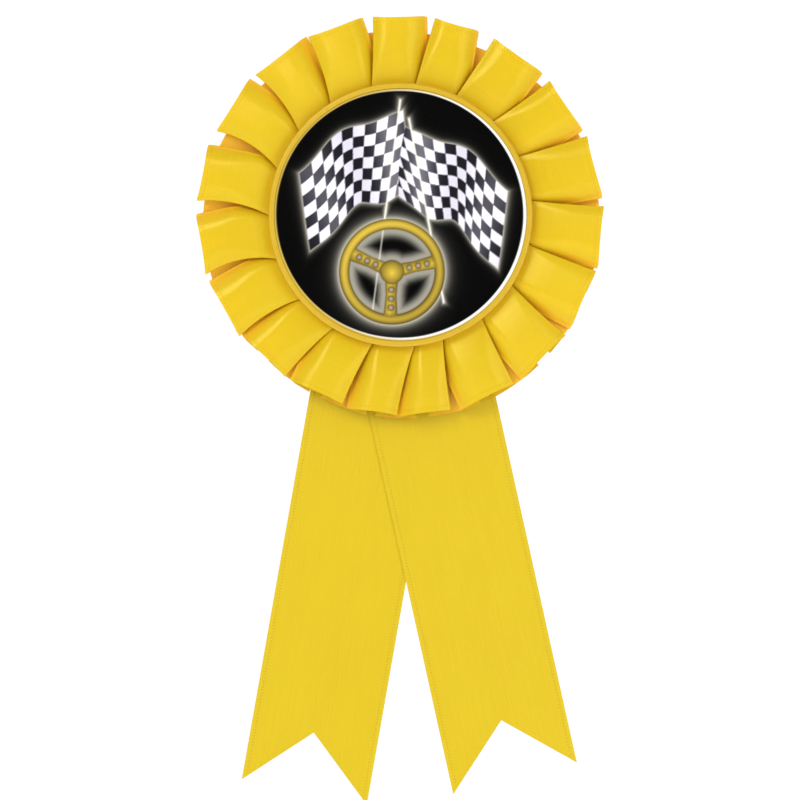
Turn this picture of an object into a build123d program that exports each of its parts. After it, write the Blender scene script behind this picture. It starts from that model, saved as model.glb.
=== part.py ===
from build123d import *
import math
import os

# Award ribbon: a pleated satin rosette with a printed centre button, two swallow-tail
# streamers and a locking bar pin on the back.
#
# Frame: millimetres, +Z up, +X to the viewer's right. The rosette faces -Y. The origin is the
# rosette's centre on the garment side of the rear card, so every layer in front of that face
# has a negative y. A layer is given by its front and back, as y values with front < back.

# --- ribbon and rosette -------------------------------------------------------------------
RIBBON_WIDTH = 25.4
RIBBON_THICK = 0.3
ROSETTE_RADIUS = 40.74       # out to the corners of the pleats
PLEATS = 19
PANEL_WIDTH = 12.0           # the flat front panel of one pleat
FIRST_PANEL = 19.1           # clockwise from the top, degrees
JOIN_AFTER = 9               # the ribbon's two ends meet after this many panels
JOIN_STEP = 12.5             # the short step at the join, degrees
PANEL_STEP = (360 - JOIN_STEP) / (PLEATS - 1)

# --- the stack of layers, from the garment forwards ----------------------------------------
REAR_CARD_RADIUS = 28.0
REAR_CARD_THICK = 0.8
REAR_GLUE_THICK = 0.5
CORE_CARD_RADIUS = 27.0
CORE_CARD_THICK = 0.8
PLEAT_ROOT_DEPTH = 2.3       # the packed layers of ribbon round the centre
PLEAT_CROWN_DEPTH = 3.9      # the open loops further out
PLEAT_RIM_DEPTH = 2.9
THREAD_DIAMETER = 0.4
FRONT_CARD_RADIUS = 22.5
FRONT_CARD_THICK = 0.6
BUTTON_GLUE_THICK = 0.4

REAR_CARD_FRONT = -REAR_CARD_THICK
LEFT_TAIL_BACK = REAR_CARD_FRONT - REAR_GLUE_THICK
RIGHT_TAIL_BACK = LEFT_TAIL_BACK - RIBBON_THICK
CORE_CARD_BACK = RIGHT_TAIL_BACK - RIBBON_THICK
CORE_CARD_FRONT = CORE_CARD_BACK - CORE_CARD_THICK
PLEAT_ROOT_FRONT = CORE_CARD_FRONT - PLEAT_ROOT_DEPTH
FRONT_CARD_BACK = PLEAT_ROOT_FRONT - THREAD_DIAMETER
FRONT_CARD_FRONT = FRONT_CARD_BACK - FRONT_CARD_THICK
BUTTON_FLOOR_BACK = FRONT_CARD_FRONT - BUTTON_GLUE_THICK

# --- centre button and its printed insert ---------------------------------------------------
BUTTON_RADIUS = 26.2
BUTTON_FLOOR_THICK = 1.2
BUTTON_SKIRT_DEPTH = 0.8     # how far the skirt reaches back past the floor
BUTTON_SKIRT_WALL = 1.2
BUTTON_RIM_HEIGHT = 0.7      # the rim round the recess of the insert
BUTTON_EDGE_ROUND = 0.45
BUTTON_GLUE_RADIUS = 20.0
INSERT_RADIUS = 25.0
INSERT_THICK = 0.3
INSERT_GAP = 0.08            # round the insert, inside the rim
TAPE_RADIUS = 24.0
TAPE_THICK = 0.1

# --- glue and thread -------------------------------------------------------------------------
THREAD_RADIUS = 17.2
FRONT_GLUE_INNER = 18.2
FRONT_GLUE_OUTER = 22.0
REAR_GLUE_INNER = 14.0
REAR_GLUE_OUTER = 26.0
PLEAT_INNER_RADIUS = 15.0

# --- tails --------------------------------------------------------------------------------------
# Both centre lines pass through one crossing point. Distances "down" run along a tail from it.
CROSSING_X = 0.3
CROSSING_Z = -7.8
LEFT_TILT = 10.3             # degrees from the vertical
RIGHT_TILT = -12.0
TAIL_TOP = -13.0             # the cut top end, above the crossing
LEFT_TIP = 108.7
RIGHT_TIP = 107.6
SWALLOW_DEPTH = 11.4         # from the tips up to the apex of the swallow-tail cut
SWAY_Z = -28.5               # the tails swing here, under the rear card's lower edge
SWAY_GAP = 0.8
FLEX_DOWN = 67.0             # each tail flexes here, just below where the two part
FLEX_GAP = 0.6
STAPLE_HEIGHTS = (-3.0, -10.5)
STAPLE_WIRE = 0.45
STAPLE_SPAN = 8.0
STAPLE_CLINCH = 2.6

# --- bar pin -----------------------------------------------------------------------------------
PIN_Z = 12.0
PIN_HALF_LENGTH = 16.0
PIN_BASE_WIDTH = 5.0
PIN_BASE_THICK = 0.5
PIN_BASE_BACK = -0.1         # the base lies just below the rear card's face
WINDOW_LENGTH = 37.0
WINDOW_WIDTH = 8.0
NEEDLE_Y = 2.0               # the needle's axis behind the garment face
NEEDLE_RADIUS = 0.4
NEEDLE_NECK_RADIUS = 0.54    # the tapered neck, inside the eye
NEEDLE_NECK_END = -12.0
NEEDLE_TAPER_START = 8.0     # the straight shank ends here and the taper begins
NEEDLE_POINT_START = 13.0
NEEDLE_POINT_RADIUS = 0.3
NEEDLE_TIP_X = 15.4
NEEDLE_TIP_RADIUS = 0.05
HINGE_X = -14.0
RIVET_RADIUS = 0.5
RIVET_HEAD_RADIUS = 0.9
RIVET_HEAD_THICK = 0.35
RUNNING_CLEARANCE = 0.05
EYE_RADIUS = 1.05
EYE_WIDTH = 1.1
EAR_GAP = 1.2
EAR_THICK = 0.5
EAR_RADIUS = 1.3
CATCH_X = 12.0
COLLAR_LENGTH = 1.6
COLLAR_WALL = 0.5
COLLAR_OPENING = 120.0       # degrees of the collar left open for the needle
SLEEVE_BORE_RADIUS = 0.65
SLEEVE_RADIUS = 1.15
SLEEVE_SLOT = 1.1
FLANGE_RADIUS = 1.55
FLANGE_THICK = 0.4
TAB_LENGTH = 2.7             # from the sleeve's axis to the end of the tab
TAB_WIDTH = 0.8
TAB_ANGLE = -60.0            # from +Y towards +Z


def disc(radius, front, back, x=0.0, z=0.0):
    """A round plate whose axis runs along Y."""
    return Pos(x, (front + back) / 2, z) * Rot(90, 0, 0) * Cylinder(radius, back - front)


def ring(outer, inner, front, back):
    return disc(outer, front, back) - disc(inner, front, back)


def plate(width, height, front, back, x=0.0, z=0.0):
    """A rectangular plate facing along Y."""
    return Pos(x, (front + back) / 2, z) * Box(width, back - front, height)


def rod_x(radius, start, end):
    """A round rod along X on the needle's axis."""
    return Pos((start + end) / 2, NEEDLE_Y, PIN_Z) * Rot(0, 90, 0) * Cylinder(radius, end - start)


def rod_z(radius, length, x, y, z):
    """A round rod along Z about the given middle."""
    return Pos(x, y, z) * Cylinder(radius, length)


def sheet_slab(points, front, back):
    """A flat slab of the outline given by (x, z) points, between two y values."""
    plane = Plane((0, back, 0), x_dir=(1, 0, 0), z_dir=(0, -1, 0))
    return extrude(plane * make_face(Polyline(*points, close=True)), amount=back - front)


# --- centre button ------------------------------------------------------------------------------

def button_layers():
    """The y values of the recess floor, the tape's front and the insert's front."""
    recess_floor = BUTTON_FLOOR_BACK - BUTTON_FLOOR_THICK
    tape_front = recess_floor - TAPE_THICK
    return recess_floor, tape_front, tape_front - INSERT_THICK


def button_shell():
    """A moulded cap: a floor with a recess for the insert, a rounded rim and a short skirt."""
    recess_floor = button_layers()[0]
    rim_front = recess_floor - BUTTON_RIM_HEIGHT
    skirt_back = BUTTON_FLOOR_BACK + BUTTON_SKIRT_DEPTH
    body = disc(BUTTON_RADIUS, rim_front, skirt_back)
    front_edge = body.edges().filter_by(GeomType.CIRCLE).sort_by(Axis.Y)[0]
    body = fillet(front_edge, BUTTON_EDGE_ROUND)
    body = body - disc(INSERT_RADIUS + INSERT_GAP, rim_front, recess_floor)
    return body - disc(BUTTON_RADIUS - BUTTON_SKIRT_WALL, BUTTON_FLOOR_BACK, skirt_back)


def insert_adhesive():
    recess_floor, tape_front, _ = button_layers()
    return disc(TAPE_RADIUS, tape_front, recess_floor)


def printed_insert():
    _, tape_front, insert_front = button_layers()
    return disc(INSERT_RADIUS, insert_front, tape_front)


def button_glue():
    return disc(BUTTON_GLUE_RADIUS, BUTTON_FLOOR_BACK, FRONT_CARD_FRONT)


# --- pleated ring and what holds it ----------------------------------------------------------------

def panel_angles():
    """Clockwise angles from the top of the panels' middles, with the short step at the join."""
    angles = []
    for index in range(PLEATS):
        shortfall = PANEL_STEP - JOIN_STEP if index >= JOIN_AFTER else 0.0
        angles.append(FIRST_PANEL + index * PANEL_STEP - shortfall)
    return angles


def pleat_outline():
    """The star outline of all the panels, seen from the front."""
    panel_end = math.sqrt(ROSETTE_RADIUS**2 - (PANEL_WIDTH / 2) ** 2)
    middle = panel_end - RIBBON_WIDTH / 2
    outline = Sketch()
    for angle in panel_angles():
        outline += Rot(0, 0, -angle) * Pos(0, middle) * Rectangle(PANEL_WIDTH, RIBBON_WIDTH)
    return outline


def pleated_ribbon():
    """The envelope of the pleats: packed thin round the centre, open loops further out."""
    back = CORE_CARD_FRONT
    profile = Polyline(
        (PLEAT_INNER_RADIUS, back),
        (ROSETTE_RADIUS + 1, back),
        (ROSETTE_RADIUS + 1, back - PLEAT_RIM_DEPTH),
        (36.0, back - PLEAT_CROWN_DEPTH),
        (31.0, back - PLEAT_CROWN_DEPTH),
        (BUTTON_RADIUS - 0.4, back - PLEAT_ROOT_DEPTH),
        (PLEAT_INNER_RADIUS, back - PLEAT_ROOT_DEPTH),
        close=True,
    )
    envelope = revolve(make_face(profile), Axis.Y)
    plane = Plane((0, back, 0), x_dir=(1, 0, 0), z_dir=(0, -1, 0))
    star = extrude(plane * pleat_outline(), amount=PLEAT_CROWN_DEPTH + 1)
    return envelope & star


def gather_thread():
    """The sewing thread that gathers the inner edges of the pleats."""
    half = THREAD_DIAMETER / 2
    return ring(THREAD_RADIUS + half, THREAD_RADIUS - half, FRONT_CARD_BACK, PLEAT_ROOT_FRONT)


def front_glue():
    return ring(FRONT_GLUE_OUTER, FRONT_GLUE_INNER, FRONT_CARD_BACK, PLEAT_ROOT_FRONT)


def front_card():
    return disc(FRONT_CARD_RADIUS, FRONT_CARD_FRONT, FRONT_CARD_BACK)


def core_card():
    return disc(CORE_CARD_RADIUS, CORE_CARD_FRONT, CORE_CARD_BACK)


def pin_window(front, back):
    """The opening that the bar pin stands in."""
    return plate(WINDOW_LENGTH, WINDOW_WIDTH, front, back, z=PIN_Z)


def rear_glue():
    """A bed of glue round the tails' staples, open where the pin's pad lies."""
    bed = ring(REAR_GLUE_OUTER, REAR_GLUE_INNER, LEFT_TAIL_BACK, REAR_CARD_FRONT)
    return bed - pin_window(LEFT_TAIL_BACK, REAR_CARD_FRONT)


def rear_card():
    return disc(REAR_CARD_RADIUS, REAR_CARD_FRONT, 0) - pin_window(REAR_CARD_FRONT, 0)


# --- tails -------------------------------------------------------------------------------------------

def on_tail(tilt, down, across):
    """The (x, z) of a point of a tail, by its distance down and across from the crossing."""
    angle = math.radians(tilt)
    x = CROSSING_X - down * math.sin(angle) + across * math.cos(angle)
    z = CROSSING_Z - down * math.cos(angle) - across * math.sin(angle)
    return x, z


def down_at_height(tilt, across, z):
    """How far down the tail its line at this distance across reaches the height z."""
    angle = math.radians(tilt)
    return (CROSSING_Z - z - across * math.sin(angle)) / math.cos(angle)


def tail_anchor(tilt, back):
    """The top of a tail, held in the rosette, down to the level line where it starts to swing."""
    half = RIBBON_WIDTH / 2
    level = SWAY_Z + SWAY_GAP / 2
    points = [
        on_tail(tilt, TAIL_TOP, -half),
        on_tail(tilt, TAIL_TOP, half),
        on_tail(tilt, down_at_height(tilt, half, level), half),
        on_tail(tilt, down_at_height(tilt, -half, level), -half),
    ]
    return sheet_slab(points, back - RIBBON_THICK, back)


def tail_upper(tilt, back):
    """The stretch from the swing line down to where the two tails part."""
    half = RIBBON_WIDTH / 2
    level = SWAY_Z - SWAY_GAP / 2
    bottom = FLEX_DOWN - FLEX_GAP / 2
    points = [
        on_tail(tilt, down_at_height(tilt, -half, level), -half),
        on_tail(tilt, down_at_height(tilt, half, level), half),
        on_tail(tilt, bottom, half),
        on_tail(tilt, bottom, -half),
    ]
    return sheet_slab(points, back - RIBBON_THICK, back)


def tail_lower(tilt, tip, back):
    """The free end of a tail, with its swallow-tail cut."""
    half = RIBBON_WIDTH / 2
    top = FLEX_DOWN + FLEX_GAP / 2
    points = [
        on_tail(tilt, top, -half),
        on_tail(tilt, top, half),
        on_tail(tilt, tip, half),
        on_tail(tilt, tip - SWALLOW_DEPTH, 0),
        on_tail(tilt, tip, -half),
    ]
    return sheet_slab(points, back - RIBBON_THICK, back)


def tail_staples():
    """Two flat-wire staples through the core card and both tails, clinched behind them."""
    wire = STAPLE_WIRE
    crown_front = CORE_CARD_FRONT - wire
    clinch_back = LEFT_TAIL_BACK + wire
    staples = []
    for z in STAPLE_HEIGHTS:
        staple = plate(STAPLE_SPAN, wire, crown_front, CORE_CARD_FRONT, z=z)
        for side in (-1, 1):
            leg_x = side * (STAPLE_SPAN - wire) / 2
            fold_x = side * (STAPLE_SPAN - STAPLE_CLINCH) / 2
            staple += plate(wire, wire, crown_front, clinch_back, x=leg_x, z=z)
            staple += plate(STAPLE_CLINCH, wire, LEFT_TAIL_BACK, clinch_back, x=fold_x, z=z)
        staples.append(staple.solid())
    return Compound(children=staples)


# --- bar pin ------------------------------------------------------------------------------------------

def pin_pad():
    """The foam pad that sticks the pin's base to the core card."""
    base_front = PIN_BASE_BACK - PIN_BASE_THICK
    return plate(2 * PIN_HALF_LENGTH - 2, PIN_BASE_WIDTH, CORE_CARD_BACK, base_front, z=PIN_Z)


def hinge_ear(side):
    """One upright ear beside the needle's eye, pierced for the rivet."""
    middle_z = PIN_Z + side * (EAR_GAP + EAR_THICK) / 2
    height = NEEDLE_Y - PIN_BASE_BACK
    wall = Pos(HINGE_X, NEEDLE_Y - height / 2, middle_z) * Box(2 * EAR_RADIUS, height, EAR_THICK)
    wall += rod_z(EAR_RADIUS, EAR_THICK, HINGE_X, NEEDLE_Y, middle_z)
    return wall - rod_z(RIVET_RADIUS, EAR_THICK, HINGE_X, NEEDLE_Y, middle_z)


def catch_collar():
    """The open collar on its post, in which the locking sleeve turns."""
    start = CATCH_X - COLLAR_LENGTH / 2
    end = CATCH_X + COLLAR_LENGTH / 2
    bore = SLEEVE_RADIUS + RUNNING_CLEARANCE
    outer = bore + COLLAR_WALL
    collar = rod_x(outer, start, end)
    post_height = NEEDLE_Y - PIN_BASE_BACK
    collar += Pos(CATCH_X, PIN_BASE_BACK + post_height / 2, PIN_Z) * Box(COLLAR_LENGTH, post_height, 1.8)
    collar -= rod_x(bore, start, end)
    half = math.radians(COLLAR_OPENING / 2)
    reach = 2 * outer
    mouth = [
        (NEEDLE_Y, PIN_Z),
        (NEEDLE_Y + reach * math.cos(half), PIN_Z - reach * math.sin(half)),
        (NEEDLE_Y + reach * math.cos(half), PIN_Z + reach * math.sin(half)),
    ]
    wedge = extrude(
        Plane((start, 0, 0), x_dir=(0, 1, 0), z_dir=(1, 0, 0))
        * make_face(Polyline(*mouth, close=True)),
        amount=COLLAR_LENGTH,
    )
    return collar - wedge


def pin_base():
    """The stamped strip with its two hinge ears and the catch's collar."""
    base_front = PIN_BASE_BACK - PIN_BASE_THICK
    strip = plate(2 * PIN_HALF_LENGTH, PIN_BASE_WIDTH, base_front, PIN_BASE_BACK, z=PIN_Z)
    strip = fillet(strip.edges().filter_by(Axis.Y), PIN_BASE_WIDTH * 0.45)
    for x in (-6.0, 6.0):
        strip -= disc(0.9, base_front, PIN_BASE_BACK, x=x, z=PIN_Z)
    return strip + hinge_ear(-1) + hinge_ear(1) + catch_collar()


def pin_rivet():
    """The rivet through the ears and the needle's eye, with a head at each end."""
    span = EAR_GAP + 2 * EAR_THICK
    rivet = rod_z(RIVET_RADIUS, span, HINGE_X, NEEDLE_Y, PIN_Z)
    for side in (-1, 1):
        head_z = PIN_Z + side * (span + RIVET_HEAD_THICK) / 2
        rivet += rod_z(RIVET_HEAD_RADIUS, RIVET_HEAD_THICK, HINGE_X, NEEDLE_Y, head_z)
    return rivet


def needle_cone(start_radius, end_radius, start, end):
    """A tapered stretch of the needle along X."""
    cone = Rot(0, 90, 0) * Cone(start_radius, end_radius, end - start)
    return Pos((start + end) / 2, NEEDLE_Y, PIN_Z) * cone


def pin_needle():
    """The needle: an eye that turns on the rivet, a tapered neck, a straight shank and a point."""
    needle = rod_z(EYE_RADIUS, EYE_WIDTH, HINGE_X, NEEDLE_Y, PIN_Z)
    needle += needle_cone(NEEDLE_NECK_RADIUS, NEEDLE_RADIUS, HINGE_X, NEEDLE_NECK_END)
    needle += rod_x(NEEDLE_RADIUS, NEEDLE_NECK_END, NEEDLE_TAPER_START)
    needle += needle_cone(
        NEEDLE_RADIUS, NEEDLE_POINT_RADIUS, NEEDLE_TAPER_START, NEEDLE_POINT_START
    )
    needle += needle_cone(
        NEEDLE_POINT_RADIUS, NEEDLE_TIP_RADIUS, NEEDLE_POINT_START, NEEDLE_TIP_X
    )
    return needle - rod_z(RIVET_RADIUS + RUNNING_CLEARANCE, EYE_WIDTH, HINGE_X, NEEDLE_Y, PIN_Z)


def catch_sleeve():
    """The slotted locking sleeve, flanged outside the collar, with its thumb tab."""
    half = COLLAR_LENGTH / 2 + RUNNING_CLEARANCE
    start = CATCH_X - half - FLANGE_THICK
    end = CATCH_X + half + FLANGE_THICK
    sleeve = rod_x(SLEEVE_RADIUS, start, end)
    sleeve += rod_x(FLANGE_RADIUS, start, start + FLANGE_THICK)
    sleeve += rod_x(FLANGE_RADIUS, end - FLANGE_THICK, end)
    tab_length = TAB_LENGTH - SLEEVE_BORE_RADIUS
    tab = Pos(end - FLANGE_THICK / 2, SLEEVE_BORE_RADIUS + tab_length / 2, 0)
    tab = tab * Box(FLANGE_THICK, tab_length, TAB_WIDTH)
    sleeve += Pos(0, NEEDLE_Y, PIN_Z) * Rot(TAB_ANGLE, 0, 0) * tab
    sleeve -= rod_x(SLEEVE_BORE_RADIUS, start, end)
    slot = Pos(CATCH_X, NEEDLE_Y + FLANGE_RADIUS, PIN_Z)
    return sleeve - slot * Box(end - start, 2 * FLANGE_RADIUS, SLEEVE_SLOT)


# --- write the parts -------------------------------------------------------------------------------------

NODES = {
    "printed_insert": printed_insert(),
    "insert_adhesive": insert_adhesive(),
    "button_shell": button_shell(),
    "button_glue": button_glue(),
    "front_card": front_card(),
    "front_glue": front_glue(),
    "gather_thread": gather_thread(),
    "pleated_ribbon": pleated_ribbon(),
    "core_card": core_card(),
    "rear_glue": rear_glue(),
    "rear_card": rear_card(),
    "tail_staples": tail_staples(),
    "left_tail_anchor": tail_anchor(LEFT_TILT, LEFT_TAIL_BACK),
    "right_tail_anchor": tail_anchor(RIGHT_TILT, RIGHT_TAIL_BACK),
    "left_tail_upper": tail_upper(LEFT_TILT, LEFT_TAIL_BACK),
    "right_tail_upper": tail_upper(RIGHT_TILT, RIGHT_TAIL_BACK),
    "left_tail_lower": tail_lower(LEFT_TILT, LEFT_TIP, LEFT_TAIL_BACK),
    "right_tail_lower": tail_lower(RIGHT_TILT, RIGHT_TIP, RIGHT_TAIL_BACK),
    "pin_pad": pin_pad(),
    "pin_base": pin_base(),
    "pin_rivet": pin_rivet(),
    "pin_needle": pin_needle(),
    "catch_sleeve": catch_sleeve(),
}

os.makedirs("parts", exist_ok=True)
for name, shape in NODES.items():
    export_step(shape, f"parts/{name}.step")
    print(name, round(shape.volume, 3))
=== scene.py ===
"""An award ribbon: a pleated satin rosette with a printed button and two swallow-tail streamers."""
import math

import bpy
import numpy as np
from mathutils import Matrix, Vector


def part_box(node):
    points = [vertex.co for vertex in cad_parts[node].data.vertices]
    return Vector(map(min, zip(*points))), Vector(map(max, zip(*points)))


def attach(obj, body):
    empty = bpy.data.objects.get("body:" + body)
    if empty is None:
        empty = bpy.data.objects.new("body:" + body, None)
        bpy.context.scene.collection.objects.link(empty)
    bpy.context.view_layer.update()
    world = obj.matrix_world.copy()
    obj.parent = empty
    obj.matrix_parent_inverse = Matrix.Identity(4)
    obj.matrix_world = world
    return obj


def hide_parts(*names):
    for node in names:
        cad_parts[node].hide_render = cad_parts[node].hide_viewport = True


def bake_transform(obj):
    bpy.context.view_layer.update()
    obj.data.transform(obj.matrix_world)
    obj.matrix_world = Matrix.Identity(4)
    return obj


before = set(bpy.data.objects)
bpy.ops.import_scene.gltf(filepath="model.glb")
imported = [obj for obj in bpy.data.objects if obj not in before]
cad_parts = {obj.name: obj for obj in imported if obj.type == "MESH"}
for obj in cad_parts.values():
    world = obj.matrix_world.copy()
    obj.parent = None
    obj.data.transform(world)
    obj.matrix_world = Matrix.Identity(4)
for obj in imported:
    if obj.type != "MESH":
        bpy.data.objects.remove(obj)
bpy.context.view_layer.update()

MM = 0.001

# --- sizes in millimetres, taken from the CAD frame where it has them ---------------------------------
PLEAT_BACK = -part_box("pleated_ribbon")[1].y / MM   # the pleats' back, in front of the garment face
INSERT_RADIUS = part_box("printed_insert")[1].x / MM
INSERT_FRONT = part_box("printed_insert")[0].y / MM
INSERT_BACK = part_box("printed_insert")[1].y / MM

RIBBON_WIDTH = 25.4
CLOTH_THICK = 0.16
SELVEDGE_WIDTH = 0.75
DIMPLE_ROW, DIMPLE_PITCH = 0.95, 0.62    # the dimples' distance from the ribbon's edge, and apart
SHARP_ANGLE = 50.0                       # degrees between faces that are shaded as an edge

# --- the pleats -------------------------------------------------------------------------------------------
PLEATS = 19
FIRST_PANEL = 19.1                       # degrees clockwise from the top
JOIN_AFTER = 9
JOIN_STEP = 12.5
PANEL_STEP = (360.0 - JOIN_STEP) / (PLEATS - 1)
INNER_S = 14.9                           # the gathered edge's distance from the centre
ROOT_S = 25.6                            # where the pleats come out from under the button
OUTER_S = 40.3                           # the free edge's distance from the centre
# How far each panel's left fold and its two free corners stand from the even spacing, in degrees.
ROOT_DRIFT = (-0.4, -1.2, -1.0, -1.3, -0.6, -0.4, -0.7, -0.5, -0.3,
              -0.3, -1.1, -1.9, -1.8, -1.1, -0.9, 0.3, 0.0, -0.8, -0.6)
LEFT_DRIFT = (-0.6, -1.9, -1.2, -1.5, -0.3, -1.1, -0.4, 0.3, 0.5,
              3.5, 0.2, -0.6, -2.4, -1.7, 0.0, 1.2, 1.4, 0.6, 0.8)
RIGHT_DRIFT = (-4.6, -1.9, -1.2, -0.5, 0.2, -0.2, 0.2, 0.2, -0.6,
               1.0, 0.0, -0.4, -1.6, -1.7, -1.0, 1.7, 2.4, 0.1, -0.7)
# How far each left fold bows clockwise between its ends, in millimetres.
FOLD_BOW = (0.0, 0.1, 0.2, 0.1, 0.2, 0.1, 0.3, 0.2, 0.2,
            0.3, 0.3, 0.4, 0.9, 1.5, 1.1, 1.4, 1.0, 0.6, 0.2)
# Where the layers behind end: degrees clockwise from the top, and millimetres from the centre.
BACK_EDGE = ((0, 28, 48, 68, 90, 130, 150, 180, 200, 215, 252, 272, 292, 312, 332, 352, 360),
             (37.2, 37.2, 38.8, 39.8, 39.7, 40.5, 40.9, 41.0, 41.0,
              40.4, 39.9, 39.3, 38.6, 38.0, 38.2, 37.4, 37.2))
# The free edge's distance from the centre against the average, by angle.
RIM_SCALE = ((0, 20, 40, 62, 90, 120, 150, 180, 200, 216, 235, 250, 290, 310, 330, 348, 360),
             (0.982, 0.979, 0.984, 0.986, 1.0, 1.0, 1.0, 0.985, 0.972,
              0.968, 0.982, 1.0, 1.003, 0.992, 0.99, 0.982, 0.982))
FOLD_UNDER = 4.1                         # how far each fold runs back under its panel
FOLD_UNDER_HALF = 5.4                    # a panel's half width from which it runs back that far
# A panel's corners: distance from the centre, and half its width there.
HIDDEN_RADIUS, HIDDEN_HALF = 15.3, 3.2   # under the button
ROOT_HALF = 5.42                         # at ROOT_S
CORNER_RADIUS, CORNER_HALF = 40.74, 6.0  # at the free edge
LEFT_CORNER, RIGHT_CORNER = 40.45, 40.75 # how far out each free corner is drawn
RIM_HEIGHT, CROWN_HEIGHT = 6.3, 6.6      # the front's height at the free edge, and where it is highest
SKIRT_HEIGHT = 5.35                      # the front's height just outside the button's skirt
LAYER_GAP = 0.3                          # least distance between a rolled side and the layer behind it
ROWS = 30

# --- the tails --------------------------------------------------------------------------------------------
CROSSING = (-0.3, -7.8)
TAIL_TOP = -13.0
TAIL_SPLIT = 52.0                        # between the upper piece and the lower piece
TAIL_FLEX = 67.0


def ramp(x):
    """A smooth step from 0 to 1."""
    x = np.clip(x, 0.0, 1.0)
    return x * x * (3 - 2 * x)


# --- meshes -----------------------------------------------------------------------------------------------

def grid_quads(rows, cols, first=0, flip=False):
    """The faces of a grid of points numbered row by row from first."""
    r, c = np.meshgrid(np.arange(rows - 1), np.arange(cols - 1), indexing="ij")
    a = first + r * cols + c
    quads = np.stack([a, a + 1, a + cols + 1, a + cols], -1).reshape(-1, 4)
    return quads[:, ::-1] if flip else quads


def make_mesh(name, points, quads, material, uvs=None):
    """A smooth-shaded mesh object from points in millimetres."""
    mesh = bpy.data.meshes.new(name)
    mesh.from_pydata((np.asarray(points) * MM).tolist(), [], np.asarray(quads).tolist())
    if uvs is not None:
        layer = mesh.uv_layers.new(name="UVMap")
        loops = np.zeros(len(mesh.loops), np.int32)
        mesh.loops.foreach_get("vertex_index", loops)
        layer.data.foreach_set("uv", np.asarray(uvs, np.float32)[loops].ravel())
    mesh.polygons.foreach_set("use_smooth", np.ones(len(mesh.polygons), bool))
    mesh.set_sharp_from_angle(angle=math.radians(SHARP_ANGLE))
    mesh.materials.append(material)
    obj = bpy.data.objects.new(name, mesh)
    bpy.context.scene.collection.objects.link(obj)
    return obj


def cloth(name, points, uvs, material, deep=None, thick=CLOTH_THICK):
    """A closed thin sheet round a grid of points (rows, columns, 3).

    The grid is copied to both sides. deep, 1 inside a fold, is how much painted shade, an orange crease
    colour, goes on the second copy only, which is the side away from the normal that the rows and columns
    give.
    """
    rows, cols, _ = points.shape
    along = np.gradient(points, axis=1)
    across = np.gradient(points, axis=0)
    normal = np.cross(along, across)
    normal /= np.linalg.norm(normal, axis=2, keepdims=True) + 1e-12
    count = rows * cols
    both = np.concatenate([(points + normal * thick / 2).reshape(-1, 3),
                           (points - normal * thick / 2).reshape(-1, 3)])
    index = np.arange(count).reshape(rows, cols)
    border = np.concatenate([index[0, :], index[1:, -1], index[-1, -2::-1], index[-2:0:-1, 0]])
    ahead = np.roll(border, -1)
    rim = np.stack([ahead, border, border + count, ahead + count], -1)
    quads = np.concatenate([grid_quads(rows, cols), grid_quads(rows, cols, count, True), rim])
    flat = uvs.reshape(-1, 2)
    sheet = make_mesh(name, both, quads, material, np.concatenate([flat, flat]))
    # Painted shade: this colour attribute holds how much orange crease shade each point of the sheet takes.
    tint = sheet.data.color_attributes.new("painted_fold_shade", "FLOAT_COLOR", "POINT")
    level = np.zeros(count) if deep is None else deep.reshape(-1)
    level = np.concatenate([np.zeros(count), level])[:, None]
    painted_shades = np.hstack([level, level, level, np.ones_like(level)]).astype(np.float32)
    tint.data.foreach_set("color", painted_shades.ravel())
    return sheet


# --- node helpers -----------------------------------------------------------------------------------------

class Nodes:
    """A short way to build one material's node tree."""

    def __init__(self, name):
        self.material = bpy.data.materials.new(name)
        self.material.use_nodes = True
        self.tree = self.material.node_tree
        self.shader = self.tree.nodes["Principled BSDF"]

    def set(self, **values):
        for key, value in values.items():
            self.shader.inputs[key.replace("_", " ")].default_value = value

    def link(self, value, socket):
        if hasattr(value, "links") or isinstance(value, bpy.types.NodeSocket):
            self.tree.links.new(value, socket)
        else:
            socket.default_value = value

    def to(self, value, name):
        self.tree.links.new(value, self.shader.inputs[name])

    def math(self, operation, *values, clamp=False):
        node = self.tree.nodes.new("ShaderNodeMath")
        node.operation, node.use_clamp = operation, clamp
        for i, value in enumerate(values):
            self.link(value, node.inputs[i])
        return node.outputs[0]

    def position(self):
        return self.tree.nodes.new("ShaderNodeTexCoord").outputs["Object"]

    def uv(self):
        node = self.tree.nodes.new("ShaderNodeUVMap")
        node.uv_map = "UVMap"
        split = self.tree.nodes.new("ShaderNodeSeparateXYZ")
        self.tree.links.new(node.outputs[0], split.inputs[0])
        return node.outputs[0], split.outputs[0], split.outputs[1]

    def scaled(self, vector, scale):
        node = self.tree.nodes.new("ShaderNodeMapping")
        self.tree.links.new(vector, node.inputs["Vector"])
        node.inputs["Scale"].default_value = scale
        return node.outputs[0]

    def noise(self, vector, scale, detail=2.0, rough=0.5):
        node = self.tree.nodes.new("ShaderNodeTexNoise")
        self.tree.links.new(vector, node.inputs["Vector"])
        node.inputs["Scale"].default_value = scale
        node.inputs["Detail"].default_value = detail
        node.inputs["Roughness"].default_value = rough
        return node.outputs[0]

    def blend(self, share, first, second):
        node = self.tree.nodes.new("ShaderNodeMix")
        node.data_type = "RGBA"
        self.link(share, node.inputs[0])
        for value, socket in ((first, node.inputs[6]), (second, node.inputs[7])):
            self.link(value if not isinstance(value, tuple) else (*value, 1.0), socket)
        return node.outputs[2]

    def bump(self, height, distance, strength=1.0):
        node = self.tree.nodes.new("ShaderNodeBump")
        node.inputs["Strength"].default_value = strength
        node.inputs["Distance"].default_value = distance
        self.tree.links.new(height, node.inputs["Height"])
        self.tree.links.new(node.outputs[0], self.shader.inputs["Normal"])


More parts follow.
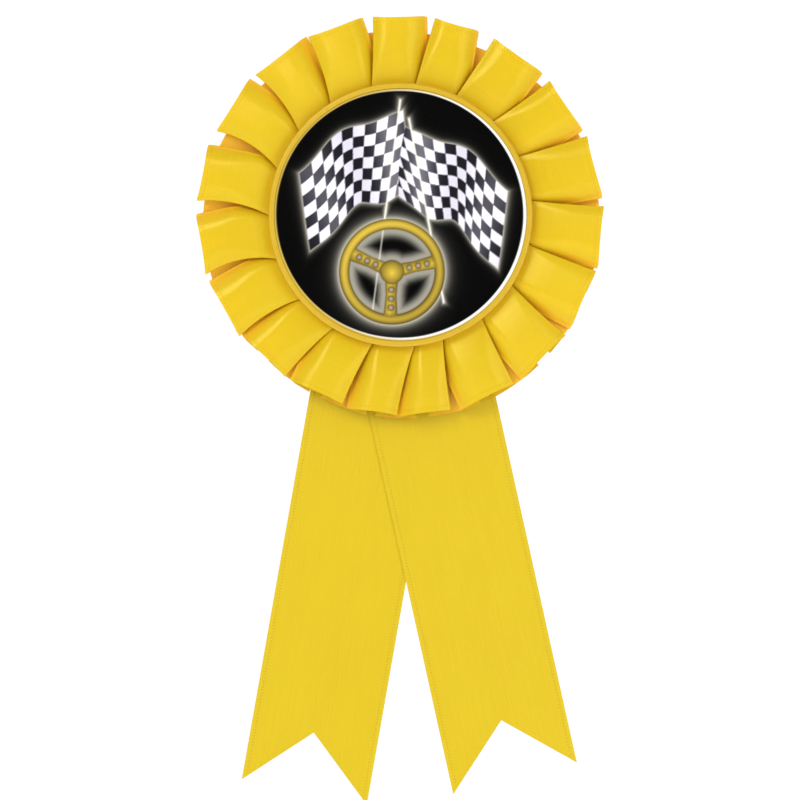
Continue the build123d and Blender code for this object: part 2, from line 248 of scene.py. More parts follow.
def satin(name, colour, dark, dots, glow):
    """Single-face satin ribbon: fine lengthwise threads and a ribbed selvedge at each edge. UVs are in mm.

    dots is how dark the selvedge's dimples are, and glow the share of light that comes through.
    """
    n = Nodes(name)
    vector, u, v = n.uv()
    edge = n.math("MINIMUM", v, n.math("SUBTRACT", RIBBON_WIDTH, v))
    threads = n.noise(n.scaled(vector, (0.06, 2.6, 1.0)), 1.0, 3.0, 0.65)
    weft = n.noise(n.scaled(vector, (2.4, 0.25, 1.0)), 1.0, 2.0, 0.6)
    slow = n.noise(n.scaled(vector, (0.05, 0.09, 1.0)), 1.0, 2.0)
    # The selvedge: a ribbed band with a row of small dimples just inside it.
    band = n.math("LESS_THAN", edge, SELVEDGE_WIDTH)
    from_row = n.math("ABSOLUTE", n.math("SUBTRACT", edge, DIMPLE_ROW))
    row = n.math("SUBTRACT", 1.0, n.math("MULTIPLY", from_row, 4.5), clamp=True)
    turn = n.math("MULTIPLY", u, 2 * math.pi / DIMPLE_PITCH)
    beat = n.math("MULTIPLY_ADD", n.math("SINE", turn), 0.5, 0.5)
    dimple = n.math("MULTIPLY", row, n.math("POWER", beat, 1.5))
    rib = n.math("MULTIPLY", band, beat)
    tone = n.math("ADD", n.math("MULTIPLY", threads, 0.55), n.math("MULTIPLY", slow, 0.45))
    base = n.blend(n.math("MULTIPLY_ADD", tone, 2.2, -0.6, clamp=True), dark, colour)
    base = n.blend(n.math("MULTIPLY", dimple, dots), base, tuple(c * 0.45 for c in dark))
    # Painted shade: the colour attribute pulls the colour to orange in the folds and round the button, for
    # shade and light bounced in the creases.
    fold = n.tree.nodes.new("ShaderNodeVertexColor")
    fold.layer_name = "painted_fold_shade"
    base = n.blend(fold.outputs[0], base, (1.0, 0.60, 0.03))
    n.to(base, "Base Color")
    n.set(Roughness=0.30, Anisotropic=0.8, Anisotropic_Rotation=0.25)
    n.shader.inputs["Specular IOR Level"].default_value = 1.0
    n.shader.inputs["Specular Tint"].default_value = (1.0, 0.88, 0.32, 1.0)
    tangent = n.tree.nodes.new("ShaderNodeTangent")
    tangent.direction_type, tangent.uv_map = "UV_MAP", "UVMap"
    n.to(tangent.outputs[0], "Tangent")
    height = n.math("ADD", n.math("MULTIPLY", threads, 1.5), n.math("MULTIPLY", weft, 0.25))
    height = n.math("ADD", height, n.math("MULTIPLY", rib, 0.5))
    height = n.math("SUBTRACT", height, n.math("MULTIPLY", dimple, 1.2))
    n.bump(height, 0.04 * MM, 0.8)
    # Light also comes through the thin cloth, and comes out more orange.
    through = n.tree.nodes.new("ShaderNodeBsdfTranslucent")
    through.inputs[0].default_value = (0.95, 0.60, 0.03, 1.0)
    mix = n.tree.nodes.new("ShaderNodeMixShader")
    mix.inputs[0].default_value = glow
    n.tree.links.new(n.shader.outputs[0], mix.inputs[1])
    n.tree.links.new(through.outputs[0], mix.inputs[2])
    n.tree.links.new(mix.outputs[0], n.tree.nodes["Material Output"].inputs[0])
    return n.material


def mottled(name, colour, dark, scale, roughness, bump=0.02, metallic=0.0, detail=3.0, stretch=(1, 1, 1)):
    """A finish with fine grain: card, glue, foam, thread or metal."""
    n = Nodes(name)
    where = n.scaled(n.position(), tuple(scale * s for s in stretch))
    grain = n.noise(where, 1.0, detail, 0.6)
    broad = n.noise(where, 0.13, 2.0)
    mix = n.math("ADD", n.math("MULTIPLY", grain, 0.6), n.math("MULTIPLY", broad, 0.4))
    n.to(n.blend(n.math("MULTIPLY_ADD", mix, 2.4, -0.7, clamp=True), dark, colour), "Base Color")
    n.to(n.math("MULTIPLY_ADD", grain, 0.16, roughness - 0.08, clamp=True), "Roughness")
    n.set(Metallic=metallic)
    n.bump(grain, bump * MM, 0.7)
    return n.material


def printed(name):
    """Laminated print whose colours are the mesh's own colour attribute."""
    n = Nodes(name)
    ink = n.tree.nodes.new("ShaderNodeVertexColor")
    ink.layer_name = "Ink"
    speck = n.noise(n.scaled(n.position(), (1800, 1800, 1800)), 1.0, 3.0)
    n.to(n.blend(n.math("MULTIPLY", speck, 0.004), ink.outputs[0], (0.5, 0.5, 0.5)), "Base Color")
    n.set(Roughness=0.5)
    n.shader.inputs["Specular IOR Level"].default_value = 0.03
    n.bump(speck, 0.004 * MM, 0.5)
    return n.material


# --- camera, stage and light ------------------------------------------------------------------------------

def make_camera():
    """The photograph's view: straight on, from far enough for a long lens."""
    data = bpy.data.cameras.new("camera")
    data.lens, data.sensor_width = 300.0, 36.0
    data.clip_start, data.clip_end = 0.01, 20.0
    camera = bpy.data.objects.new("camera", data)
    camera.location = (-0.0001, -1.3297, -0.03672)
    camera.rotation_euler = (math.pi / 2, 0.0, 0.0)
    bpy.context.scene.collection.objects.link(camera)
    bpy.context.scene.camera = camera


def area_light(name, place, aim, size, power):
    data = bpy.data.lights.new(name, "AREA")
    data.shape, data.size, data.energy = "DISK", size, power
    lamp = bpy.data.objects.new(name, data)
    lamp.location = place
    lamp.rotation_euler = (Vector(aim) - Vector(place)).to_track_quat("-Z", "Y").to_euler()
    bpy.context.scene.collection.objects.link(lamp)


def make_world(seen, ambient):
    """White behind the object, and a dimmer even light on it."""
    world = bpy.data.worlds.new("world")
    bpy.context.scene.world = world
    world.use_nodes = True
    tree = world.node_tree
    path = tree.nodes.new("ShaderNodeLightPath")
    mix = tree.nodes.new("ShaderNodeMixShader")
    behind = tree.nodes["Background"]
    around = tree.nodes.new("ShaderNodeBackground")
    behind.inputs[0].default_value, behind.inputs[1].default_value = (1, 1, 1, 1), seen
    around.inputs[0].default_value, around.inputs[1].default_value = (1, 0.985, 0.96, 1), ambient
    tree.links.new(path.outputs["Is Camera Ray"], mix.inputs[0])
    tree.links.new(around.outputs[0], mix.inputs[1])
    tree.links.new(behind.outputs[0], mix.inputs[2])
    tree.links.new(mix.outputs[0], tree.nodes["World Output"].inputs[0])


def make_stage():
    """A plain pale round floor, far below the hanging ribbon."""
    material = mottled("pale_floor", (0.93, 0.93, 0.92), (0.92, 0.92, 0.91), 60, 0.8, 0.0)
    glow = material.node_tree.nodes["Principled BSDF"]
    glow.inputs["Emission Color"].default_value = (1.0, 1.0, 1.0, 1.0)
    glow.inputs["Emission Strength"].default_value = 0.3
    angles = np.linspace(0, 2 * math.pi, 97)[:-1]
    rings = [np.stack([np.cos(angles) * r, np.sin(angles) * r, np.full(96, -300.0)], -1)
             for r in (0.5, 300.0, 1150.0)]
    quads = [(96 * k + i, 96 * k + (i + 1) % 96, 96 * (k + 1) + (i + 1) % 96, 96 * (k + 1) + i)[::-1]
             for k in range(2) for i in range(96)]
    make_mesh("floor", np.concatenate(rings), quads, material)


# --- the pleated ribbon -----------------------------------------------------------------------------------

def panel_angle(i):
    """The middle of panel i, in degrees clockwise from the top."""
    lap, i = divmod(i, PLEATS)
    angle = FIRST_PANEL + i * PANEL_STEP - (PANEL_STEP - JOIN_STEP if i >= JOIN_AFTER else 0.0)
    return angle + 360.0 * lap


def polar(radius, degrees):
    a = math.radians(degrees)
    return np.array([radius * math.sin(a), radius * math.cos(a)])


class Panel:
    """One panel: its two folds are straight lines from under the button to the free edge."""

    def __init__(self, i):
        k = i % PLEATS
        middle = panel_angle(i)
        self.angle = middle
        half = math.degrees(math.asin(ROOT_HALF / ROOT_S))
        corner = math.degrees(math.asin(CORNER_HALF / CORNER_RADIUS))
        inner = math.degrees(math.asin(HIDDEN_HALF / HIDDEN_RADIUS))
        squat = float(np.interp(middle % 360.0, *RIM_SCALE))
        self.left = [polar(HIDDEN_RADIUS, middle - inner), polar(ROOT_S, middle - half + ROOT_DRIFT[k]),
                     polar(LEFT_CORNER * squat, middle - corner + LEFT_DRIFT[k])]
        self.right = [polar(HIDDEN_RADIUS, middle + inner),
                      polar(ROOT_S, middle + half + ROOT_DRIFT[k] * 0.5),
                      polar(RIGHT_CORNER * squat, middle + corner + RIGHT_DRIFT[k])]
        draw = np.random.default_rng(100 + k)
        self.lift, self.drop, self.puff, self.soft, self.flick = draw.uniform(-1, 1, 5)
        clockwise = np.array([math.cos(math.radians(middle)), -math.sin(math.radians(middle))])
        self.bows = {id(self.left): clockwise * FOLD_BOW[k], id(self.right): clockwise * FOLD_BOW[k] * 0.4}

    def line(self, ends, s):
        inner = (s - INNER_S) / (ROOT_S - INNER_S)
        outer = (s - ROOT_S) / (OUTER_S - ROOT_S)
        a = ends[0] + (ends[1] - ends[0]) * inner[..., None]
        b = ends[1] + (ends[2] - ends[1]) * outer[..., None]
        b = b + self.bows[id(ends)] * (4 * outer * np.clip(1 - outer, 0, 1))[..., None]
        return np.where((s < ROOT_S)[..., None], a, b)

    def edge(self, a, s):
        """How the free edge strays from a straight line: a small rise at the left fold, then a dip."""
        w = self.half(s)
        rise = (0.42 + 0.15 * self.flick) * np.exp(-(a + w) / 1.3) - 0.22
        rise = rise + 0.18 * np.clip(a / w, 0, 1) ** 2 - 0.22 * np.clip(np.abs(a) / w, 0, 1) ** 14
        return rise * ramp((s - 33.0) / 7.0)

    def place(self, a, s):
        """The point at offset a from the panel's middle, at distance s along it; a and s are arrays."""
        left, right = self.line(self.left, s), self.line(self.right, s)
        across = right - left
        width = np.linalg.norm(across, axis=-1, keepdims=True)
        return (left + right) / 2 + across / width * a[..., None]

    def half(self, s):
        return np.linalg.norm(self.line(self.right, s) - self.line(self.left, s), axis=-1) / 2

    def offset_of(self, point, s):
        """Where a point of this panel's plane lies across it."""
        left, right = self.line(self.left, s), self.line(self.right, s)
        across = (right - left) / np.linalg.norm(right - left, axis=-1, keepdims=True)
        return ((point - (left + right) / 2) * across).sum(-1)

    # heights above the garment face, in millimetres
    def high(self, s):
        crown = CROWN_HEIGHT + 0.3 * self.lift
        rim = RIM_HEIGHT + 0.35 * self.lift
        under_skirt = 4.85 + 0.5 * ramp((s - 22.0) / 4.0)
        rise = (crown - SKIRT_HEIGHT) * ramp((s - 23.0) / 11.0)
        return under_skirt + rise - (crown - rim) * ramp((s - 34.5) / 6.5)

    def fall(self, s):
        return 1.0 + (1.75 + 0.2 * self.drop) * ramp((s - 25.0) / 9.5)

    def loop(self, s):
        return 0.36 + 0.22 * ramp((s - 26.0) / 14.0)

    def top(self, a, s, next_edge):
        """The front surface: a rounded shoulder at the left fold, level, then rolling down at the right."""
        w = self.half(s)
        out = ramp((s - 26.0) / 12.0)
        wide = (1.0 + 2.3 * out) * (1 + 0.3 * self.soft)
        deep = (0.16 + 0.85 * out) * (1 + 0.2 * self.flick)
        shoulder = deep * np.clip((wide - (a + w)) / wide, 0, 1) ** 2
        length = (1.9 + 3.1 * out) * (1 + 0.15 * self.drop)
        start = np.minimum(next_edge, w + 0.6) - length
        roll = self.fall(s) * np.clip((a - start) / (length * 1.05), 0, 1.2) ** 2
        puff = (0.34 + 0.14 * self.puff) * ramp((s - 25.5) / 6.0) * (1 - (a / w) ** 2)
        return self.high(s) - shoulder - roll + puff


def base_height(s):
    return PLEAT_BACK + 0.14 + 0.7 * ramp((s - 28.5) / 9.0)


def base_shift(angle, s):
    """The layers behind end nearer the centre at the top of the rosette than at the bottom."""
    outer = np.interp(angle % 360.0, *BACK_EDGE)
    return s - (OUTER_S - outer) * ramp((s - 26.5) / 9.0)


def fold_run(panel, s):
    """How far a panel's fold runs back under it: less where the panel is narrow."""
    return FOLD_UNDER * np.minimum(1.0, panel.half(s) / FOLD_UNDER_HALF)


def arc(share):
    """Points of a half turn: how far out it bulges, and how far down it has come."""
    t = share * math.pi
    return np.sin(t), (1 - np.cos(t)) / 2


def pleat_columns(panel, after, s):
    """The strip from one panel's left fold to the turn before the next one's.

    Each column holds x, z, the height above the garment face, and how much painted fold shade it may take.
    """
    w, loop = panel.half(s), panel.loop(s)
    radius = loop / 2
    next_edge = panel.offset_of(after.line(after.left, s), s)
    base, back = base_height(s), base_shift(panel.angle, s)
    lowest = base_height(2 * s - back) + loop * 0.9 + LAYER_GAP   # in front of the layer behind
    columns = []

    # fold is how much painted shade a column may take: on the fold's turn, across the roll, and under it.
    def add(a, s_here, height, fold=1.0):
        fold = np.broadcast_to(fold, height.shape)
        columns.append(np.concatenate([panel.place(a, s_here), height[:, None], fold[:, None]], -1))

    edge_height = panel.top(-w + radius, s, next_edge)
    for share in np.linspace(0, 1, 8):
        bulge, down = arc(share)
        a = -w + radius - radius * bulge
        add(a, s + panel.edge(a, s), edge_height - loop * (1 - down), 1 - down)
    for share in np.linspace(0, 1, 29)[1:]:
        a = -w + radius + (2 * w - 2 * radius) * share
        height = np.maximum(panel.top(a, s, next_edge), lowest)
        add(a, s + panel.edge(a, s), height, ramp(a / w * 1.6 + 0.2))
    right_height = np.maximum(panel.top(w - radius, s, next_edge), lowest)
    for share in np.linspace(0, 1, 8)[1:]:
        bulge, down = arc(share)
        a = w - radius + radius * bulge
        add(a, s + panel.edge(a, s), right_height - loop * 0.9 * down)
    low = right_height - loop * 0.9
    turn_height = base + np.maximum(0.26, (low - base) * 0.6)
    run = fold_run(panel, s)
    for share in np.linspace(0, 1, 5)[1:]:
        height = low + (turn_height - low) * ramp(share)
        add(w - radius - (run - radius) * share, s + (back - s) * share, height)
    for share in np.linspace(0, 1, 6)[1:-1]:
        bulge, down = arc(share)
        add(w - run - bulge * (turn_height - base) / 2, back, turn_height + (base - turn_height) * down)
    return columns


def base_columns(panel, after, s, first=0.0, last=1.0, lift=0.0):
    """The layer behind, from one panel's turn to the next one's."""
    run_a, run_b = fold_run(panel, s), fold_run(after, s)
    start = panel.place(panel.half(s) - run_a, base_shift(panel.angle, s))
    end = after.place(-after.half(s) + run_b, base_shift(after.angle, s))
    angle_a, angle_b = np.arctan2(start[:, 0], start[:, 1]), np.arctan2(end[:, 0], end[:, 1])
    angle_b = angle_a + (angle_b - angle_a + math.pi) % (2 * math.pi) - math.pi
    size_a, size_b = np.linalg.norm(start, axis=1), np.linalg.norm(end, axis=1)
    columns = []
    for share in np.linspace(first, last, 9):
        angle = angle_a + (angle_b - angle_a) * share
        size = size_a + (size_b - size_a) * share
        bow = 0.25 * math.sin(math.pi * share) * ramp((s - 28) / 8)
        height = base_height(s) + lift - bow
        # The last value is the column's share of painted shade: full on the layer behind.
        columns.append(np.stack([size * np.sin(angle), size * np.cos(angle), height, np.ones(len(s))], -1))
    return columns


def rise_columns(panel, s):
    """The turn under a panel and the run back out to its left fold."""
    w, loop = panel.half(s), panel.loop(s)
    radius = loop / 2
    run = fold_run(panel, s)
    back = base_shift(panel.angle, s)
    base = base_height(s)
    fold = panel.top(-w + radius, s, w * 3) - loop
    turn = base + (fold - base) * 0.62
    columns = []
    # The last value of each column is its share of painted shade.
    for share in np.linspace(0, 1, 8)[1:]:
        bulge, down = arc(share)
        a = -w + run + bulge * (turn - base) / 2
        height = base + (turn - base) * down
        columns.append(np.column_stack([panel.place(a, back), height, np.full(len(s), 0.4)]))
    for share in np.linspace(0, 1, 6)[1:-1]:
        a = -w + run - (run - radius) * share
        where = panel.place(a, back + (s - back) * share)
        columns.append(np.column_stack([where, turn + (fold - turn) * ramp(share), np.full(len(s), 0.4)]))
    return columns


def make_pleats(material):
    """The whole pleated strip as one sheet, lapped over itself at the join; returns its flat length."""
    share = np.linspace(0, 1, ROWS)
    s = INNER_S + (OUTER_S - INNER_S) * (share * 0.75 + 0.25 * share ** 0.5)
    order = [JOIN_AFTER + i for i in range(PLEATS + 1)]
    panels = [Panel(i) for i in order]
    before = Panel(order[0] - 1)
    columns = base_columns(before, panels[0], s, 0.35, 1.0, 0.2) + rise_columns(panels[0], s)
    for k in range(PLEATS):
        here, after = panels[k], panels[k + 1]
        columns += pleat_columns(here, after, s)
        if k < PLEATS - 1:
            columns += base_columns(here, after, s) + rise_columns(after, s)
        else:
            columns += base_columns(here, after, s, 0.0, 0.7)
    grid = np.stack(columns, 1)
    points = np.stack([grid[..., 0], -grid[..., 2], grid[..., 1]], -1)
    middle = points[int(ROWS * 0.6)]
    length = np.concatenate([[0], np.cumsum(np.linalg.norm(np.diff(middle, axis=0), axis=1))])
    uvs = np.stack(np.broadcast_arrays(length[None, :], (s - INNER_S)[:, None]), -1)
    # How deep each point lies below the front sets the painted shade, an orange darkening of the folds and
    # of the roots. The rows are handed on outermost first, so the sheet's second copy, the one with painted
    # shade, faces the viewer.
    level = 5.1 + 1.2 * ramp((s - 23.0) / 11.0) - 0.3 * ramp((s - 34.5) / 6.5)
    deep = grid[..., 3] * ramp((level[:, None] - grid[..., 2]) / 1.5)
    # Painted shade round the button's edge, where the pleats go under it.
    deep = np.maximum(deep, 0.5 * ramp((28.2 - s) / 2.4)[:, None])
    pleats = cloth("satin_pleats", points[::-1], uvs[::-1], material, deep[::-1])
    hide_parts("pleated_ribbon")
    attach(pleats, "rosette")
    return length[-1]


# --- the tails --------------------------------------------------------------------------------------------

class Tail:
    """One streamer: a flat ribbon from its hidden top to its swallow-tail end, hanging at a tilt."""

    def __init__(self, name, tilt, depth, tips, apex_across, apex_down):
        self.name, self.depth = name, depth
        self.sin, self.cos = math.sin(math.radians(tilt)), math.cos(math.radians(tilt))
        self.tips, self.apex_across, self.apex_down = tips, apex_across, apex_down

    def place(self, down, across):
        x = CROSSING[0] - down * self.sin + across * self.cos
        z = CROSSING[1] - down * self.cos - across * self.sin
        return np.stack([x, self.depth + hang(x, z), z], -1)

    def end(self, across):
        """How far down the notched end is, at each place across."""
        half = RIBBON_WIDTH / 2
        left = self.tips[0] + (self.apex_down - self.tips[0]) * (across + half) / (self.apex_across + half)
        right = self.tips[1] + (self.apex_down - self.tips[1]) * (half - across) / (half - self.apex_across)
        return np.where(across < self.apex_across, left, right)

    def build(self, part, first, last, rows, material):
        half = RIBBON_WIDTH / 2
        across = np.concatenate([np.linspace(-half, self.apex_across, 17)[:-1],
                                 np.linspace(self.apex_across, half, 17)])
        share = np.linspace(0, 1, rows)[:, None]
        finish = self.end(across)[None, :] if last is None else np.full((1, len(across)), last)
        down = first + (finish - first) * share
        wide = np.broadcast_to(across[None, :], down.shape)
        points = self.place(down, wide)
        uvs = np.stack([down - TAIL_TOP, wide + half], -1)
        piece = cloth(f"satin_{self.name}_{part}", points[::-1], uvs[::-1], material)
        return piece

    def at(self, down):
        """The middle of the ribbon at a distance down it, in metres."""
        return tuple(self.place(np.array(float(down)), np.array(0.0)) * MM)


def hang(x, z):
    """How far the hanging cloth stands off its flat plane: nothing where it is held, more lower down."""
    low = ramp((-z - 36.0) / 70.0)
    wave = 0.55 * np.sin((z + 20) / 15.0) + 0.35 * np.sin(x / 8.0 + z / 31.0)
    return low * (wave - 0.6)


def make_tails(material):
    """Both streamers, each in two pieces."""
    left = Tail("left_tail", 10.0, -1.45, (108.3, 109.0), -0.2, 96.7)
    right = Tail("right_tail", -12.5, -1.75, (107.2, 106.4), -0.2, 94.9)
    for tail in (left, right):
        upper = tail.build("upper", TAIL_TOP, TAIL_SPLIT, 60, material)
        lower = tail.build("lower", TAIL_SPLIT, None, 60, material)
        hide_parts(f"{tail.name}_anchor", f"{tail.name}_upper")
        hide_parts(f"{tail.name}_lower")
        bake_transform(upper)
        tail.at(TAIL_FLEX - 4)
        tail.at(TAIL_FLEX + 4)
        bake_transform(lower)


# --- the printed insert -----------------------------------------------------------------------------------

def smooth_mask(distance, soft):
    """1 inside (negative distance), 0 outside, with a soft edge."""
    return 1 - ramp((distance + soft) / (2 * soft))


def laid_over(ink, colour, mask):
    """A colour printed over the ink where the mask is 1."""
    return ink * (1 - mask[..., None]) + colour * mask[..., None]


class Flag:
    """A waving checkered flag on its staff."""

    def __init__(self, head, foot, corners, cells, curl, wrap):
        self.head, self.foot, self.wrap = np.array(head), np.array(foot), wrap
        self.corners, self.cells, self.curl = np.array(corners), cells, curl
        self.reach = np.hypot(*(self.corners[1] - self.corners[0]))
        self.tall = np.hypot(*(self.corners[2] - self.corners[0]))

    def surface(self, u, v):
        """Where the cloth's point u along the fly and v down the hoist is."""
        shares = ((1 - u) * (1 - v), u * (1 - v), (1 - u) * v, u * v)
        hx = sum(c[0] * share for c, share in zip(self.corners, shares))
        hz = sum(c[1] * share for c, share in zip(self.corners, shares))
        wave = math.pi * 2 * (u * 1.25 + 0.3 * v)
        hx = hx + self.curl * 0.55 * np.sin(wave + 0.9) * u
        arch = np.sin(math.pi * np.clip(u, 0, 1)) * (1.9 + 1.1 * v)
        return hx, hz + arch - 0.75 * np.sin(wave) * np.clip(u * 3, 0, 1)

    def locate(self, x, z):
        """The cloth coordinates of a picture point, by Newton's method."""
        u, v = np.full(x.shape, 0.5), np.full(x.shape, 0.5)
        e = 1e-3
        for _ in range(14):
            px, pz = self.surface(u, v)
            ax, az = self.surface(u + e, v)
            bx, bz = self.surface(u, v + e)
            j11, j21, j12, j22 = (ax - px) / e, (az - pz) / e, (bx - px) / e, (bz - pz) / e
            det = j11 * j22 - j12 * j21
            det = np.where(np.abs(det) < 1e-3, 1e-3, det)
            dx, dz = x - px, z - pz
            u = np.clip(u + np.clip((dx * j22 - dz * j12) / det, -0.3, 0.3), -0.6, 1.6)
            v = np.clip(v + np.clip((dz * j11 - dx * j21) / det, -0.3, 0.3), -0.8, 1.8)
        px, pz = self.surface(u, v)
        lost = np.hypot(px - x, pz - z)
        return u, v, lost


def paint(x, z):
    """The print's colours (display values 0 to 1) at points in millimetres."""
    glow = np.zeros(x.shape)
    layers = []
    for flag, phase in ((FLAG_LEFT, 0), (FLAG_RIGHT, 1)):
        u, v, lost = flag.locate(x, z)
        reach, tall = flag.reach, flag.tall
        outside = np.maximum(np.maximum((u - 1) * reach, (flag.wrap * (0.15 + v) - u) * reach),
                             np.maximum(-v, v - 1) * tall) + lost
        glow = np.maximum(glow, np.exp(-np.maximum(outside, 0) / 0.65) * 0.8)
        nu, nv = flag.cells
        parity = (np.floor(u * nu) + np.floor(v * nv) + phase) % 2
        du = np.abs(u * nu - np.round(u * nu)) * reach / nu
        dv = np.abs(v * nv - np.round(v * nv)) * tall / nv
        crisp = ramp(np.minimum(du, dv) / 0.16 + 0.5)
        light = 0.5 + 0.5 * np.sin(2 * math.pi * (u * 1.25 + 0.3 * v) + 0.5)
        white = 0.86 + 0.14 * light
        black = 0.10 + 0.34 * light ** 2 * (1 - 0.4 * u)
        tone = np.where(parity > 0.5, white * crisp + (1 - crisp) * 0.5, black * crisp + (1 - crisp) * 0.5)
        tint = np.stack([tone, tone * 0.985, np.clip(tone * 1.03 + 0.02, 0, 1)], -1)
        layers.append((tint, smooth_mask(outside, 0.1)))
    # staffs
    staffs = np.zeros(x.shape)
    for flag in (FLAG_LEFT, FLAG_RIGHT):
        axis = flag.foot - flag.head
        size = np.hypot(*axis)
        along = ((x - flag.head[0]) * axis[0] + (z - flag.head[1]) * axis[1]) / size
        aside = np.abs((x - flag.head[0]) * axis[1] - (z - flag.head[1]) * axis[0]) / size
        away = np.maximum(aside - 0.16, np.maximum(-1.3 - along, along - size))
        glow = np.maximum(glow, np.exp(-np.maximum(away, 0) / 0.55) * 0.75)
        staffs = np.maximum(staffs, smooth_mask(away, 0.1))
    wheel, wheel_mask, wheel_glow = paint_wheel(x, z)
    glow = np.maximum(glow, wheel_glow)
    halo = np.array([0.93, 0.91, 0.84])
    ink = glow[..., None] * halo
    for tint, mask in layers:
        ink = laid_over(ink, tint, mask)
    ink = laid_over(ink, np.array([0.95, 0.94, 0.9]), staffs)
    disc = paint_wheel_ground(x, z)
    ink = laid_over(ink, wheel_glow[..., None] * halo, disc)
    ink = laid_over(ink, np.array([0.9, 0.89, 0.85]), staffs * disc * 0.7)
    ink = laid_over(ink, wheel, wheel_mask)
    field = smooth_mask(np.hypot(x + 0.15, z - 0.1) - FIELD_RADIUS, 0.09)[..., None]
    # The button's lip colours the white border where the insert sits closest to it.
    lip = smooth_mask(LIP_RADIUS - np.hypot(x - 0.3, z), 0.1)[..., None]
    border = np.array([0.985, 0.98, 0.975]) * (1 - lip) + np.array([0.84, 0.72, 0.34]) * lip
    return ink * field + (1 - field) * border


FLAG_LEFT = Flag((-0.2, 21.6), (-5.6, -19.5), ((-0.2, 20.4), (-20.4, 9.0), (-2.7, 2.4), (-17.4, -7.4)),
                 (9, 7), 1.0, -0.22)
FLAG_RIGHT = Flag((1.9, 17.9), (8.6, -17.5), ((2.1, 16.8), (21.6, 5.4), (5.6, -0.8), (18.8, -11.0)),
                  (9, 7), -1.0, -0.38)
FIELD_RADIUS = 24.5                      # the black field
LIP_RADIUS = 24.75                       # where the button's colour begins on the border
WHEEL = (-1.7, -11.3)
WHEEL_OUT, WHEEL_IN, WHEEL_HUB = 10.5, 8.45, 2.35
SPOKES = (77.0, -66.0, 182.0)            # degrees clockwise from the top
PRINT_SIDE = 292                         # points along each side of the print's grid


def paint_wheel_ground(x, z):
    """The inside of the wheel, where the flags don't show."""
    return smooth_mask(np.hypot(x - WHEEL[0], z - WHEEL[1]) - WHEEL_IN, 0.1)


def paint_wheel(x, z):
    """The steering wheel's colours, where it is, and the glow round it."""
    dx, dz = x - WHEEL[0], z - WHEEL[1]
    r = np.hypot(dx, dz)
    ring = np.abs(r - (WHEEL_OUT + WHEEL_IN) / 2) - (WHEEL_OUT - WHEEL_IN) / 2
    across_ring = (r - WHEEL_IN) / (WHEEL_OUT - WHEEL_IN)
    lit = 0.5 + 0.5 * (dx * -0.45 + dz * 0.75) / np.maximum(r, 1e-6)
    metal = 0.45 + 0.36 * np.sin(np.clip(across_ring, 0, 1) * math.pi) + 0.2 * lit
    shape, holes = ring.copy(), np.full(x.shape, 9.0)
    for degrees in SPOKES:
        a = math.radians(degrees)
        along = dx * math.sin(a) + dz * math.cos(a)
        aside = dx * math.cos(a) - dz * math.sin(a)
        width = 1.05 + 0.30 * np.abs(along - 4.6) / 4.0
        bar = np.maximum(np.abs(aside) - width, np.maximum(1.0 - along, along - WHEEL_IN - 0.3))
        metal = np.where(bar < 0, 0.62 + 0.28 * (1 - np.abs(aside) / 1.4) + 0.1 * (aside > 0), metal)
        shape = np.minimum(shape, bar)
        for step in (3.55, 5.35, 7.1):
            hole = np.hypot(along - step, aside) - 0.52
            holes = np.minimum(holes, hole)
    hub = r - WHEEL_HUB
    shape = np.minimum(shape, hub)
    dome = 1 - np.clip(np.hypot(dx, dz + 0.2) / WHEEL_HUB, 0, 1)
    metal = np.where(hub < 0, 0.62 + 0.42 * dome, metal)
    outline = np.exp(-np.abs(shape) / 0.2) * 0.85
    outline = np.maximum(outline, np.where(hub < 1.5, np.exp(-np.abs(hub) / 0.14) * 0.6, 0))
    gold = np.array([0.85, 0.73, 0.27])
    bronze = np.array([0.25, 0.19, 0.05])
    colour = metal[..., None] * gold * (1 - outline[..., None]) + outline[..., None] * bronze
    rim = np.exp(-np.abs(holes) / 0.13)[..., None]
    colour = np.where((holes < 0)[..., None], np.array([0.66, 0.63, 0.56]), colour)
    colour = colour * (1 - 0.75 * rim) + 0.75 * rim * np.array([0.22, 0.17, 0.05])
    outer_glow = np.exp(-np.maximum(shape, 0) / 1.05) * 0.85
    inner_glow = 0.66 * ramp(1 - (shape - 0.4) / 2.3)
    glow = np.where(r < WHEEL_IN, inner_glow, outer_glow)
    return np.clip(colour, 0, 1), smooth_mask(shape, 0.08), glow


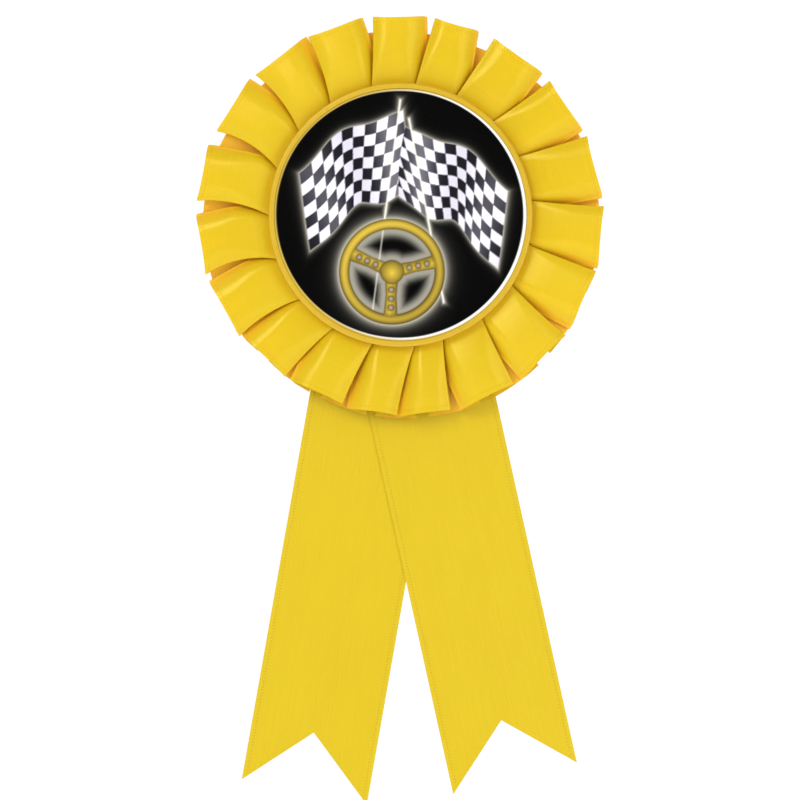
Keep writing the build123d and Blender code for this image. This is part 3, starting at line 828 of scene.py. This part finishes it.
def make_insert(material):
    """A thin printed disc: a square grid bent to fill the circle, with its edge and back."""
    side = PRINT_SIDE
    t = np.linspace(-1, 1, side)
    u, v = np.meshgrid(t, t, indexing="xy")
    x = u * np.sqrt(1 - v * v / 2) * INSERT_RADIUS
    z = v * np.sqrt(1 - u * u / 2) * INSERT_RADIUS
    front = np.stack([x, np.full(x.shape, INSERT_FRONT), z], -1).reshape(-1, 3)
    index = np.arange(side * side).reshape(side, side)
    border = np.concatenate([index[0, :-1], index[:-1, -1], index[-1, :0:-1], index[:0:-1, 0]])
    count = len(border)
    edge = front[border].copy()
    edge[:, 1] = INSERT_BACK
    first = side * side
    ahead = np.roll(np.arange(count), -1)
    wall = np.stack([border, first + np.arange(count), first + ahead, border[ahead]], -1)
    quads = grid_quads(side, side).tolist() + wall[:, ::-1].tolist() + [list(range(first, first + count))]
    mesh = bpy.data.meshes.new("printed_disc")
    mesh.from_pydata((np.concatenate([front, edge]) * MM).tolist(), [], quads)
    colours = np.ones((len(mesh.vertices), 4), np.float32)
    step = 0.045                         # four samples a point, this far to each side, smooth its edges
    samples = [paint(x + i * step, z + j * step) for i in (-1, 1) for j in (-1, 1)]
    shown = np.clip(np.mean(samples, axis=0), 0, 1).reshape(-1, 3)
    colours[:first, :3] = np.where(shown <= 0.04045, shown / 12.92, ((shown + 0.055) / 1.055) ** 2.4)
    colours[first:, :3] = 0.85
    ink = mesh.color_attributes.new("Ink", "FLOAT_COLOR", "POINT")
    ink.data.foreach_set("color", colours.ravel())
    mesh.materials.append(material)
    disc = bpy.data.objects.new("printed_disc", mesh)
    bpy.context.scene.collection.objects.link(disc)
    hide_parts("printed_insert")
    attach(disc, "rosette")


# --- finishes for the carried-over pieces ---------------------------------------------------------------

def finish_nodes():
    """Finishes for the CAD nodes that show as they are."""
    plastic = mottled("yellow_button_enamel", (0.66, 0.43, 0.010), (0.60, 0.375, 0.008), 900, 0.3, 0.004)
    white_card = mottled("white_lined_card", (0.80, 0.79, 0.76), (0.70, 0.68, 0.64), 2200, 0.75, 0.02)
    grey_card = mottled("grey_card", (0.40, 0.37, 0.33), (0.29, 0.27, 0.24), 2600, 0.85, 0.03)
    glue = mottled("hot_glue", (0.78, 0.74, 0.62), (0.66, 0.60, 0.46), 300, 0.35, 0.03)
    foam = mottled("foam_tape", (0.78, 0.78, 0.75), (0.55, 0.55, 0.52), 4200, 0.9, 0.08)
    thread = mottled("cotton_thread", (0.75, 0.55, 0.10), (0.55, 0.38, 0.05), 3600, 0.8, 0.05,
                     stretch=(1, 4, 1))
    nickel = mottled("nickel_plated_steel", (0.72, 0.70, 0.66), (0.52, 0.50, 0.47), 1300, 0.27, 0.004,
                     metallic=1.0, stretch=(0.08, 1, 1))
    wire = mottled("staple_wire", (0.66, 0.66, 0.66), (0.42, 0.42, 0.43), 2400, 0.35, 0.01, metallic=1.0)
    looks = {"button_shell": plastic, "rear_card": white_card, "front_card": grey_card,
             "core_card": grey_card, "insert_adhesive": glue, "button_glue": glue, "front_glue": glue,
             "rear_glue": glue, "pin_pad": foam, "gather_thread": thread, "pin_base": nickel,
             "pin_rivet": nickel, "pin_needle": nickel, "catch_sleeve": nickel, "tail_staples": wire}
    for name, material in looks.items():
        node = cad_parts[name]
        node.data.materials.clear()
        node.data.materials.append(material)


bpy.context.scene.view_settings.view_transform = "Standard"
make_camera()
make_world(1.05, 0.65)
make_stage()
area_light("key", (-0.5, -0.98, 0.5), (0, 0, -0.03), 0.6, 4.9)
area_light("fill", (0.8, -0.9, 0.1), (0, 0, -0.04), 0.8, 2.5)
area_light("rear", (0.5, 1.1, 0.6), (0, 0, -0.04), 0.8, 9.0)

pleats_satin = satin("yellow_satin_pleats", (0.86, 0.650, 0.010), (0.815, 0.580, 0.008), 0.25, 0.24)
length = make_pleats(pleats_satin)
print("pleated ribbon's flat length in mm:", round(length, 1))
make_tails(satin("yellow_satin_tails", (0.74, 0.540, 0.010), (0.68, 0.480, 0.008), 0.5, 0.05))
make_insert(printed("laminated_print"))
finish_nodes()

bpy.context.view_layer.update()
